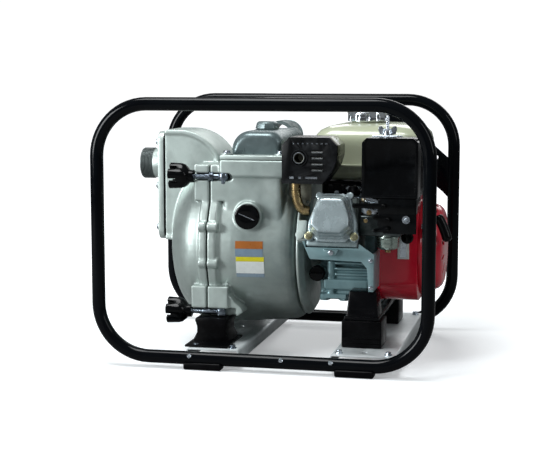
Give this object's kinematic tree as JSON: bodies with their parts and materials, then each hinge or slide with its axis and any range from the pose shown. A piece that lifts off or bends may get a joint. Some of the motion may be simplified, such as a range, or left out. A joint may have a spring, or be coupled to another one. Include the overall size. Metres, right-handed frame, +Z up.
{
  "type": "gas engine trash pump",
  "caption": "Petrol-engine trash pump in a tube carrying frame: round cast pump with hinged clamp knobs, side suction port, top discharge elbow, single-cylinder engine.",
  "frame": {"origin": "middle of the bounding box's underside, on the floor between the feet", "axes": "+X towards the engine's starter, -X the suction port, -Y the front with the engine controls, +Z up"},
  "size_m": [0.6206, 0.476, 0.4747],
  "materials": {
    "tube_paint": "gloss black powder coat",
    "galvanised": "zinc-plated sheet",
    "black_rubber": "matte black rubber",
    "stand_paint": "satin black paint",
    "cast_aluminium": "sand-cast, silver-grey",
    "elbow_casting": "sand-cast, darker grey",
    "engine_casting": "die-cast, grey",
    "cover_silver": "silver paint",
    "black_plastic": "moulded black plastic",
    "zinc_hardware": "bright zinc plate",
    "machined_steel": "machined steel",
    "red_paint": "gloss red paint",
    "cream_paint": "gloss cream paint",
    "exhaust_metal": "heat-tinted yellow metal",
    "muffler_steel": "heat-dulled sheet steel",
    "guard_paint": "satin black paint",
    "chrome_plate": "polished chrome",
    "cast_iron": "rough cast iron"
  },
  "bodies": {
    "root": {"front_loop": "tube_paint", "rear_loop": "tube_paint", "rear_brace": "tube_paint", "left_channel": "galvanised", "right_channel": "galvanised", "left_front_foot": "black_rubber", "left_rear_foot": "black_rubber", "right_front_foot": "black_rubber", "right_rear_foot": "black_rubber", "left_front_mount": "black_rubber", "left_rear_mount": "black_rubber", "right_front_mount": "black_rubber", "right_rear_mount": "black_rubber", "engine_stand": "stand_paint", "pump_casing": "cast_aluminium", "pump_cover": "cast_aluminium", "cover_seal": "black_rubber", "suction_flange": "cast_aluminium", "suction_gasket": "black_rubber", "volute": "cast_iron", "shaft_seal": "machined_steel", "pump_adapter": "cast_aluminium", "discharge_elbow": "elbow_casting", "crankcase": "engine_casting", "cylinder_head": "engine_casting", "piston": "machined_steel", "valve_cover": "cover_silver", "muffler": "muffler_steel", "muffler_guard": "guard_paint", "exhaust_pipe": "exhaust_metal", "fan_shroud": "red_paint", "recoil_starter": "red_paint", "fuel_tank": "cream_paint", "air_cleaner_case": "black_plastic", "air_cleaner_cover": "black_plastic", "carburettor": "machined_steel", "spark_plug_cap": "black_rubber", "ignition_lead": "black_rubber"},
    "rotor": {"crankshaft": "machined_steel", "flywheel": "cast_iron", "impeller": "cast_iron"},
    "valve_flap": {"check_valve_flap": "black_rubber"},
    "fill_cap": {"fill_cap": "elbow_casting"},
    "casing_plug": {"casing_plug": "black_plastic"},
    "oil_filler": {"oil_filler": "black_plastic"},
    "fuel_cap": {"fuel_cap": "chrome_plate"},
    "starter_grip": {"starter_grip": "black_plastic"},
    "throttle_lever": {"throttle_lever": "black_plastic"},
    "choke_lever": {"choke_lever": "black_plastic"},
    "fuel_lever": {"fuel_lever": "black_plastic"},
    "engine_switch": {"engine_switch": "black_plastic"},
    "upper_front_bolt": {"upper_front_swing_bolt": "zinc_hardware"},
    "upper_front_knob": {"upper_front_knob": "black_plastic"},
    "lower_front_bolt": {"lower_front_swing_bolt": "zinc_hardware"},
    "lower_front_knob": {"lower_front_knob": "black_plastic"},
    "upper_rear_bolt": {"upper_rear_swing_bolt": "zinc_hardware"},
    "upper_rear_knob": {"upper_rear_knob": "black_plastic"},
    "lower_rear_bolt": {"lower_rear_swing_bolt": "zinc_hardware"},
    "lower_rear_knob": {"lower_rear_knob": "black_plastic"}
  },
  "joints": [
    {"name": "rotor_spin", "type": "hinge", "parent": "root", "child": "rotor", "pos_m": [0.09335, 0, 0.199], "axis": [1, 0, 0], "continuous": true},
    {"name": "check_valve_swing", "type": "hinge", "parent": "root", "child": "valve_flap", "pos_m": [-0.22665, 0, 0.3925], "axis": [0, -1, 0], "range_deg": [0, 50]},
    {"name": "fill_cap_turn", "type": "hinge", "parent": "root", "child": "fill_cap", "pos_m": [-0.03665, -0.03, 0.4003], "axis": [0, 0, 1], "continuous": true},
    {"name": "casing_plug_turn", "type": "hinge", "parent": "root", "child": "casing_plug", "pos_m": [-0.04665, -0.1345, 0.262], "axis": [0, -1, 0], "continuous": true},
    {"name": "oil_filler_turn", "type": "hinge", "parent": "root", "child": "oil_filler", "pos_m": [0.07035, -0.0695, 0.156], "axis": [0, -1, 0], "continuous": true},
    {"name": "fuel_cap_turn", "type": "hinge", "parent": "root", "child": "fuel_cap", "pos_m": [0.14035, 0.04, 0.4265], "axis": [0, 0, 1], "range_deg": [0, 90]},
    {"name": "starter_pull", "type": "slide", "parent": "root", "child": "starter_grip", "axis": [0.9228, 0, 0.3853], "range_m": [0, 0.45], "stiffness_N_per_m": 12},
    {"name": "throttle_swing", "type": "hinge", "parent": "root", "child": "throttle_lever", "pos_m": [0.19935, -0.1655, 0.288], "axis": [0, 1, 0], "range_deg": [-25, 10]},
    {"name": "choke_swing", "type": "hinge", "parent": "root", "child": "choke_lever", "pos_m": [0.20735, -0.1655, 0.265], "axis": [0, 1, 0], "range_deg": [-25, 5]},
    {"name": "fuel_valve_swing", "type": "hinge", "parent": "root", "child": "fuel_lever", "pos_m": [0.20735, -0.1655, 0.2485], "axis": [0, 1, 0], "range_deg": [-45, 0]},
    {"name": "engine_switch_turn", "type": "hinge", "parent": "root", "child": "engine_switch", "pos_m": [0.23335, -0.0943, 0.226], "axis": [0, -1, 0], "range_deg": [0, 60]},
    {"name": "upper_front_bolt_swing", "type": "hinge", "parent": "root", "child": "upper_front_bolt", "pos_m": [-0.09465, -0.13, 0.331], "axis": [0, 0, 1], "range_deg": [0, 90]},
    {"name": "upper_front_knob_turn", "type": "hinge", "parent": "upper_front_bolt", "child": "upper_front_knob", "pos_m": [-0.14945, -0.13, 0.331], "axis": [-1, 0, 0], "continuous": true},
    {"name": "lower_front_bolt_swing", "type": "hinge", "parent": "root", "child": "lower_front_bolt", "pos_m": [-0.09465, -0.149, 0.089], "axis": [0, 0, 1], "range_deg": [0, 90]},
    {"name": "lower_front_knob_turn", "type": "hinge", "parent": "lower_front_bolt", "child": "lower_front_knob", "pos_m": [-0.14945, -0.149, 0.089], "axis": [-1, 0, 0], "continuous": true},
    {"name": "upper_rear_bolt_swing", "type": "hinge", "parent": "root", "child": "upper_rear_bolt", "pos_m": [-0.09465, 0.13, 0.331], "axis": [0, 0, -1], "range_deg": [0, 90]},
    {"name": "upper_rear_knob_turn", "type": "hinge", "parent": "upper_rear_bolt", "child": "upper_rear_knob", "pos_m": [-0.14945, 0.13, 0.331], "axis": [-1, 0, 0], "continuous": true},
    {"name": "lower_rear_bolt_swing", "type": "hinge", "parent": "root", "child": "lower_rear_bolt", "pos_m": [-0.09465, 0.149, 0.089], "axis": [0, 0, -1], "range_deg": [0, 90]},
    {"name": "lower_rear_knob_turn", "type": "hinge", "parent": "lower_rear_bolt", "child": "lower_rear_knob", "pos_m": [-0.14945, 0.149, 0.089], "axis": [-1, 0, 0], "continuous": true}
  ]
}
